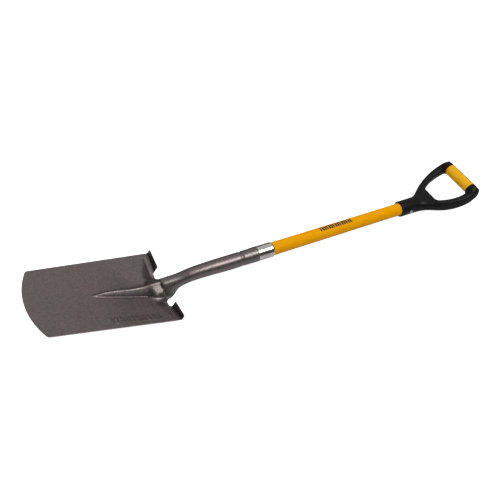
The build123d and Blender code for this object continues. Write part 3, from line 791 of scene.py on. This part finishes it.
def sample(field, points):
    """Field value at points in cell units."""
    cell = np.clip(np.floor(points).astype(int), 0, np.array(field.shape) - 2)
    part = points - cell
    out = 0.0
    for a, b, c in CORNERS:
        weight = part[:, 0] if a else 1 - part[:, 0]
        weight = weight * (part[:, 1] if b else 1 - part[:, 1])
        weight = weight * (part[:, 2] if c else 1 - part[:, 2])
        out = out + weight * field[cell[:, 0] + a, cell[:, 1] + b, cell[:, 2] + c]
    return out


def relax(verts, faces, field, rounds):
    """Evens out the mesh along the surface and keeps it on the zero level."""
    edges = np.concatenate([faces[:, [k, (k + 1) % 4]] for k in range(4)])
    for _ in range(rounds):
        total, count = np.zeros_like(verts), np.zeros(len(verts))
        for a, b in ((0, 1), (1, 0)):
            np.add.at(total, edges[:, a], verts[edges[:, b]])
            np.add.at(count, edges[:, a], 1)
        verts = 0.5 * verts + 0.5 * total / count[:, None]
        for _ in range(2):
            value = sample(field, verts)
            gradient = np.stack(
                [sample(field, verts + d) - sample(field, verts - d) for d in np.eye(3) * 0.5], -1
            )
            steepness = np.maximum((gradient * gradient).sum(1), 0.05)
            step = (value / steepness)[:, None] * gradient
            length = np.linalg.norm(step, axis=1)
            step *= np.minimum(1, 0.6 / np.maximum(length, 1e-9))[:, None]
            verts = verts - step
    return verts


# ---- shader nodes ---------------------------------------------------------------------------
def connect(tree, target, inputs):
    """Links the inputs that are given as sockets and sets the others."""
    for key, value in inputs.items():
        if isinstance(value, bpy.types.NodeSocket):
            tree.links.new(value, target.inputs[key])
        else:
            target.inputs[key].default_value = value


def node(tree, kind, inputs=()):
    new = tree.nodes.new("ShaderNode" + kind)
    connect(tree, new, dict(inputs))
    return new


def rgba(colour):
    """A plain number is a grey; a socket stays as it is."""
    if isinstance(colour, bpy.types.NodeSocket):
        return colour
    return (*colour, 1.0) if isinstance(colour, tuple) else (colour, colour, colour, 1.0)


def new_material(name):
    material = bpy.data.materials.new(name)
    material.use_nodes = True
    tree = material.node_tree
    tree.nodes.clear()
    output = node(tree, "OutputMaterial")
    shader = node(tree, "BsdfPrincipled")
    connect(tree, output, {"Surface": shader.outputs["BSDF"]})
    return material, tree, shader


def coords(tree, scale=(1, 1, 1)):
    place = node(tree, "TexCoord").outputs["Object"]
    return node(tree, "Mapping", {"Scale": scale, "Vector": place}).outputs["Vector"]


def noise(tree, vector, scale=1.0, detail=3.0, rough=0.6, distortion=0.0):
    return node(tree, "TexNoise", {
        "Scale": scale, "Detail": detail, "Roughness": rough, "Distortion": distortion,
        "Vector": vector,
    }).outputs["Fac"]


def ramp(tree, factor, stops):
    """Colour ramp; stops gives the colour at each factor."""
    new = node(tree, "ValToRGB")
    elements = new.color_ramp.elements
    while len(elements) < len(stops):
        elements.new(0.5)
    for element, (position, colour) in zip(elements, stops.items()):
        element.position = position
        element.color = rgba(colour)
    connect(tree, new, {"Fac": factor})
    return new.outputs["Color"]


def mix(tree, a, b, factor=1.0, blend="MULTIPLY"):
    new = node(tree, "Mix")
    new.data_type = "RGBA"
    new.blend_type = blend
    # Inputs 6 and 7 are the two colours, output 2 the mixed one.
    connect(tree, new, {0: factor, 6: rgba(a), 7: rgba(b)})
    return new.outputs[2]


def bump(tree, height, strength, distance, under=None):
    inputs = {"Strength": strength, "Distance": distance, "Height": height}
    if under is not None:
        inputs["Normal"] = under
    return node(tree, "Bump", inputs).outputs["Normal"]


# ---- materials ------------------------------------------------------------------------------
def hammered_paint():
    material, tree, shader = new_material("hammered_paint_steel")
    place = coords(tree)
    cells = node(tree, "TexVoronoi", {"Scale": 330.0, "Randomness": 1.0})
    cells.feature = "SMOOTH_F1"
    connect(tree, cells, {"Smoothness": 0.6, "Vector": place})
    blotch = noise(tree, place, scale=160.0, detail=4.0)
    fine = noise(tree, place, scale=900.0, detail=2.0)
    wide = noise(tree, place, scale=18.0, rough=0.55)
    base = ramp(tree, blotch, {
        0.30: (0.170, 0.148, 0.146), 0.5: (0.202, 0.176, 0.174), 0.70: (0.236, 0.205, 0.203),
    })
    tint = ramp(tree, wide, {0.35: (0.96, 1.0, 0.98), 0.65: (1.06, 0.98, 0.98)})
    base = mix(tree, base, tint)
    base = mix(tree, base, ramp(tree, fine, {0.40: 0.82, 0.62: 1.16}))
    # Painted shade: ambient occlusion darkens the base colour in the creases and folds of the
    # pressing.
    crease_shade_ao = node(tree, "AmbientOcclusion", {"Distance": 0.009})
    crease_shade_ao.samples = 8
    crease_shade_ao.only_local = True
    shade = ramp(tree, crease_shade_ao.outputs["AO"], {0.45: 0.08, 0.80: 0.36, 0.96: 1.0})
    base = mix(tree, base, shade)
    rough = ramp(tree, blotch, {0.3: 0.36, 0.7: 0.45})
    hammer = bump(tree, cells.outputs["Distance"], strength=0.24, distance=0.0006)
    normal = bump(tree, blotch, strength=0.18, distance=0.0008, under=hammer)
    connect(tree, shader, {
        "Base Color": base, "Metallic": 0.93, "Roughness": rough, "Normal": normal,
    })
    return material


def zinc():
    material, tree, shader = new_material("zinc_steel")
    place = coords(tree)
    lines = noise(tree, coords(tree, scale=(60, 900, 900)))
    cloud = noise(tree, place, scale=90.0, detail=4.0)
    base = ramp(tree, cloud, {0.3: (0.47, 0.47, 0.45), 0.7: (0.64, 0.64, 0.615)})
    rough = ramp(tree, cloud, {0.3: 0.17, 0.7: 0.24})
    drawn = bump(tree, lines, strength=0.02, distance=0.0002)
    normal = bump(tree, cloud, strength=0.03, distance=0.0008, under=drawn)
    connect(tree, shader, {
        "Base Color": base, "Metallic": 1.0, "Roughness": rough, "Normal": normal,
    })
    return material


def fibreglass():
    material, tree, shader = new_material("yellow_fibreglass")
    streak = noise(tree, coords(tree, scale=(9, 520, 520)), detail=4.0)
    cloud = noise(tree, coords(tree, scale=(30, 60, 60)), rough=0.5)
    base = ramp(tree, streak, {
        0.28: (0.73, 0.315, 0.0002), 0.5: (0.81, 0.35, 0.0004), 0.75: (0.87, 0.385, 0.001),
    })
    tint = ramp(tree, cloud, {0.3: (0.95, 0.93, 0.9), 0.7: (1.03, 1.03, 1.0)})
    connect(tree, shader, {
        "Base Color": mix(tree, base, tint),
        "Roughness": ramp(tree, streak, {0.3: 0.34, 0.7: 0.46}),
        "Specular IOR Level": 0.08,
        "Specular Tint": (1.0, 0.72, 0.2, 1.0),
        "Normal": bump(tree, streak, strength=0.22, distance=0.0003),
    })
    return material


def moulded(name, low, mid, high, rough, grain_scale, grain_strength):
    material, tree, shader = new_material(name)
    place = coords(tree)
    grain = noise(tree, place, scale=grain_scale)
    cloud = noise(tree, place, scale=45.0, detail=4.0)
    base = ramp(tree, cloud, {0.3: low, 0.5: mid, 0.72: high})
    roughness = ramp(tree, cloud, {0.3: rough - 0.05, 0.7: rough + 0.07})
    grained = bump(tree, grain, strength=grain_strength, distance=0.0003)
    normal = bump(tree, cloud, strength=0.12, distance=0.001, under=grained)
    connect(tree, shader, {
        "Base Color": base, "Roughness": roughness, "Specular IOR Level": 0.15,
        "Normal": normal,
    })
    return material


def bright_steel():
    material, tree, shader = new_material("bright_steel")
    cloud = noise(tree, coords(tree), scale=500.0)
    connect(tree, shader, {
        "Base Color": ramp(tree, cloud, {0.3: (0.42, 0.41, 0.45), 0.7: (0.60, 0.59, 0.64)}),
        "Metallic": 1.0,
        "Roughness": ramp(tree, cloud, {0.3: 0.18, 0.7: 0.32}),
        "Normal": bump(tree, cloud, strength=0.2, distance=0.0002),
    })
    return material


def ash_wood():
    material, tree, shader = new_material("ash_core")
    place = coords(tree, scale=(14, 420, 420))
    rings = noise(tree, place, detail=5.0, rough=0.65, distortion=0.4)
    connect(tree, shader, {
        "Base Color": ramp(tree, rings, {
            0.3: (0.36, 0.22, 0.11), 0.55: (0.56, 0.38, 0.21), 0.8: (0.68, 0.50, 0.30),
        }),
        "Roughness": 0.7,
        "Normal": bump(tree, rings, strength=0.4, distance=0.0005),
    })
    return material


def print_ink():
    material, tree, shader = new_material("black_print")
    cloud = noise(tree, coords(tree), scale=700.0)
    connect(tree, shader, {
        "Base Color": ramp(tree, cloud, {0.3: (0.010, 0.007, 0.004), 0.7: (0.030, 0.020, 0.010)}),
        "Roughness": ramp(tree, cloud, {0.3: 0.42, 0.7: 0.55}),
        "Normal": bump(tree, cloud, strength=0.1, distance=0.0002),
    })
    return material


PAINT = hammered_paint()
ZINC = zinc()
GLASS = fibreglass()
STEEL = bright_steel()
WOOD = ash_wood()
INK = print_ink()
BLACK = moulded(
    "black_moulded", low=0.0055, mid=(0.0075, 0.0068, 0.0073), high=(0.0115, 0.0104, 0.0112),
    rough=0.42, grain_scale=1500.0, grain_strength=0.25,
)
YELLOW = moulded(
    "yellow_moulded", low=(0.69, 0.35, 0.004), mid=(0.75, 0.39, 0.006),
    high=(0.79, 0.425, 0.012), rough=0.45, grain_scale=1100.0, grain_strength=0.2,
)


# ---- pieces ---------------------------------------------------------------------------------
def head():
    return quad_object("pressed_steel_head", *thicken(*head_grid()), PAINT)


def ferrule():
    """Thin ring with a lip under the socket on the tip side and a bevelled grip-side end."""

    def dent(s, r, angle):
        waves = 0.03 * np.sin(2 * angle + s * 0.05) + 0.012 * np.sin(5 * angle - s * 0.11)
        return waves * ease(r, 17.0, 18.2)

    profile = refine(soften(FERRULE_PROFILE, 0.35), 2.0)
    return mixed_object("zinc_ferrule", *lathe(profile, 120, wobble=dent), ZINC)


def shaft_wave(x, angle):
    """Slight ovalness of the shaft, turning slowly along it."""
    return 0.035 * np.sin(2 * angle + 0.013 * x)


def shaft():
    def draw_marks(s, r, angle):
        ridges = 0.012 * np.sin(17 * angle + 0.4)
        return (shaft_wave(s, angle) + ridges) * ease(r, 15.2, 15.9)

    profile = refine(soften(SHAFT_PROFILE, 0.5), 6.0)
    return mixed_object("fibreglass_shaft", *lathe(profile, 128, wobble=draw_marks), GLASS)


def print_bars():
    """Plain printed bars on the upper side of the shaft."""
    start, end, count = 130.5, 223.5, 15
    pitch = (end - start) / count
    angle_0, angle_1 = math.radians(-21.0), math.radians(25.0)
    lean = 1.6
    around, along = 14, 4
    points, faces = [], []
    for k in range(count):
        low = start + k * pitch
        width = pitch * (0.74 if k % 3 else 0.6)
        size = 2 * (around + 1) * (along + 1)
        ids = len(points) + np.arange(size).reshape(2, around + 1, along + 1)
        for radius in (SHAFT_R - 0.04, SHAFT_R + 0.075):
            for i in range(around + 1):
                share = i / around
                angle = angle_0 + (angle_1 - angle_0) * share
                for j in range(along + 1):
                    x = low + width * j / along + lean * (0.5 - share)
                    r = radius + shaft_wave(x, math.pi / 2 - angle)
                    points.append((x, r * math.sin(angle), r * math.cos(angle)))
        a, b = ids  # under and upper layer
        for i in range(around):
            for j in range(along):
                faces.append((b[i, j], b[i, j + 1], b[i + 1, j + 1], b[i + 1, j]))
                faces.append((a[i + 1, j], a[i + 1, j + 1], a[i, j + 1], a[i, j]))
        for j in range(along):
            faces.append((a[0, j], a[0, j + 1], b[0, j + 1], b[0, j]))
            faces.append((b[-1, j], b[-1, j + 1], a[-1, j + 1], a[-1, j]))
        for i in range(around):
            faces.append((a[i + 1, 0], a[i, 0], b[i, 0], b[i + 1, 0]))
            faces.append((a[i, -1], a[i + 1, -1], b[i + 1, -1], b[i, -1]))
    return mixed_object("shaft_print_bars", points, faces, INK)


def grip_frame():
    step = 1.0
    field, origin = grip_field(step)
    verts, quads = surface_nets(field)
    verts = relax(verts, quads, field, rounds=3)
    return quad_object("moulded_d_grip", origin + verts * step, quads, BLACK)


def sleeve():
    """Slightly barrelled sleeve with softly rounded ends."""
    end = SLEEVE_HALF - 0.06
    outer = []
    for s in np.linspace(-end, end, 82):
        u = abs(s) / SLEEVE_HALF
        rounding = 1.1 * max(0.0, (u - 0.972) / 0.028) ** 2.2
        outer.append((s, SLEEVE_R + 0.25 * (1 - u**4) - rounding))
    profile = [(-end, SLEEVE_BORE), (end, SLEEVE_BORE)] + outer[::-1]
    solid = lathe(profile, 120, axis="y", centre=(GRIP_X, 0.0, GRIP_Z))
    return mixed_object("yellow_grip_sleeve", *solid, YELLOW)


def rivet():
    """Pin across the grip socket with a low domed head at each end."""
    half = [(-RIVET_HEAD_BASE - RIVET_HEAD_RISE, 0.0)]
    for angle in np.radians(np.linspace(8, 90, 9)):
        s = -RIVET_HEAD_BASE - RIVET_HEAD_RISE * math.cos(angle)
        half.append((s, RIVET_HEAD_R * math.sin(angle)))
    half += [(-19.45, 4.62), (-19.35, RIVET_PIN_R)]
    profile = half + [(-s, r) for s, r in reversed(half)]
    solid = lathe(profile, 48, axis="y", centre=(RIVET_X, 0.0, 0.0))
    return mixed_object("domed_rivet", *solid, STEEL)


# Maker, the CAD piece it replaces, material slot.
PIECES = [
    (head, "spade_head", "hammered_paint_steel"),
    (ferrule, "ferrule", "zinc_steel"),
    (shaft, "shaft_tube", "yellow_fibreglass"),
    (print_bars, None, "black_moulded"),
    (grip_frame, "d_grip_frame", "black_moulded"),
    (sleeve, "grip_sleeve", "yellow_moulded"),
    (rivet, "grip_rivet", "bright_steel"),
]
pieces = []
for make, replaced, slot_name in PIECES:
    obj = make()
    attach(obj, "root")
    if replaced:
        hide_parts(replaced)
    pieces.append(obj)

# Hidden CAD parts keep their shape and get their own finish.
for name, finish, slot_name in (
    ("socket_core", WOOD, "ash_core"), ("grip_end_plug", BLACK, "black_moulded")
):
    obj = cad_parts[name]
    obj.data.materials.clear()
    obj.data.materials.append(finish)

# Turn all faces outward.
for obj in pieces:
    bm = bmesh.new()
    bm.from_mesh(obj.data)
    bmesh.ops.recalc_face_normals(bm, faces=bm.faces)
    bm.to_mesh(obj.data)
    bm.free()


# ---- stage, in metres -----------------------------------------------------------------------
def floor_material():
    """Pale floor that looks brighter to the camera than to the light it bounces."""
    material, tree, shader = new_material("pale_floor")
    connect(tree, shader, {
        "Base Color": rgba(0.82), "Roughness": 0.9, "Emission Color": rgba(1.0),
    })
    camera_ray = node(tree, "LightPath").outputs["Is Camera Ray"]
    glow = node(tree, "MapRange", {"To Min": 0.22, "To Max": 0.9, "Value": camera_ray})
    connect(tree, shader, {
        "Emission Strength": glow.outputs["Result"],
        "Base Color": mix(tree, 0.42, 0.82, factor=camera_ray, blend="MIX"),
    })
    # Seen from below the floor is clear, so that the underside of the tool can be looked at.
    surface = node(tree, "MixShader")
    below = node(tree, "Math")
    below.operation = "MULTIPLY"
    backfacing = node(tree, "NewGeometry").outputs["Backfacing"]
    connect(tree, below, {0: backfacing, 1: camera_ray})
    clear = node(tree, "BsdfTransparent").outputs["BSDF"]
    connect(tree, surface, {0: below.outputs[0], 1: shader.outputs["BSDF"], 2: clear})
    connect(tree, tree.nodes["Material Output"], {"Surface": surface.outputs[0]})
    return material


def add_floor():
    half = 9
    corners = [(-half, -half, 0), (half, -half, 0), (half, half, 0), (-half, half, 0)]
    mesh = bpy.data.meshes.new("floor")
    mesh.from_pydata(corners, [], [(0, 1, 2, 3)])
    floor = add_object("floor", mesh)
    floor.location.z = -0.0024
    mesh.materials.append(floor_material())


def add_world():
    world = bpy.data.worlds.new("studio")
    bpy.context.scene.world = world
    world.use_nodes = True
    tree = world.node_tree
    tree.nodes.clear()
    direction = node(tree, "TexCoord").outputs["Generated"]

    def math_node(operation, a, b):
        new = node(tree, "Math")
        new.operation = operation
        connect(tree, new, {0: a, 1: b})
        return new.outputs[0]

    def glow(centre, outer, inner, strength):
        """Round patch of sky light: full inside the inner angle, nothing past the outer."""
        dot = node(tree, "VectorMath")
        dot.operation = "DOT_PRODUCT"
        connect(tree, dot, {0: direction, 1: Vector(centre).normalized()})
        fade = node(tree, "MapRange")
        fade.interpolation_type = "SMOOTHSTEP"
        connect(tree, fade, {
            "From Min": math.cos(math.radians(outer)),
            "From Max": math.cos(math.radians(inner)),
            "To Max": strength,
            "Value": dot.outputs["Value"],
        })
        return fade.outputs["Result"]

    # The -X patch fills the shade without showing up as a reflection in the paint.
    diffuse_ray = node(tree, "LightPath").outputs["Is Diffuse Ray"]
    fill = glow(centre=(-0.85, -0.05, 0.52), outer=50, inner=15, strength=1.7)
    fill = math_node("MULTIPLY", fill, diffuse_ray)
    top = glow(centre=(0.24, 0.33, 0.91), outer=46, inner=24, strength=0.55)
    side = glow(centre=(0.42, 0.78, 0.46), outer=32, inner=8, strength=0.20)
    sky = math_node("ADD", math_node("ADD", top, side), fill)
    # The patches fade out towards the horizon, over an even dim light.
    height = node(tree, "SeparateXYZ", {0: direction})
    rise = node(tree, "MapRange")
    rise.interpolation_type = "SMOOTHSTEP"
    connect(tree, rise, {"From Min": 0.03, "From Max": 0.40, "Value": height.outputs["Z"]})
    even_light = 0.07
    sky = math_node("ADD", math_node("MULTIPLY", sky, rise.outputs["Result"]), even_light)
    # Seen directly, the backdrop is pale like the floor.
    camera_ray = node(tree, "LightPath").outputs["Is Camera Ray"]
    sky = math_node("ADD", sky, math_node("MULTIPLY", camera_ray, 1.0))
    back = node(tree, "Background", {"Color": (1.0, 0.985, 0.97, 1), "Strength": sky})
    node(tree, "OutputWorld", {"Surface": back.outputs["Background"]})


def add_key_light():
    size, power, distance = 0.66, 24, 2.2
    target = Vector((-0.05, 0.0, 0.02))
    direction = Vector((0.35, -0.35, 0.87)).normalized()
    light = bpy.data.lights.new("key_soft", "AREA")
    light.shape = "RECTANGLE"
    light.size, light.size_y, light.energy = size, size, power
    obj = bpy.data.objects.new("key_soft", light)
    obj.location = target + direction * distance
    obj.rotation_euler = direction.to_track_quat("Z", "Y").to_euler()
    bpy.context.scene.collection.objects.link(obj)


def add_camera():
    data = bpy.data.cameras.new("camera")
    data.sensor_width = 36.0
    data.lens = 44.91
    data.clip_start, data.clip_end = 0.05, 60
    camera = bpy.data.objects.new("camera", data)
    right, up, back = (0.8848, -0.4545, 0.1027), (0.2741, 0.6859, 0.6741), (-0.3768, -0.5683, 0.7315)
    turn = Matrix((right, up, back)).transposed()
    location = row_frame([(-604.6, -817.1, 1072.9)])[0]
    camera.matrix_world = Matrix.Translation(Vector(location)) @ turn.to_4x4()
    bpy.context.scene.collection.objects.link(camera)
    bpy.context.scene.camera = camera


add_floor()
add_world()
add_key_light()
add_camera()

view = bpy.context.scene.view_settings
view.view_transform = "Standard"
view.look = "None"
view.exposure = 0.0
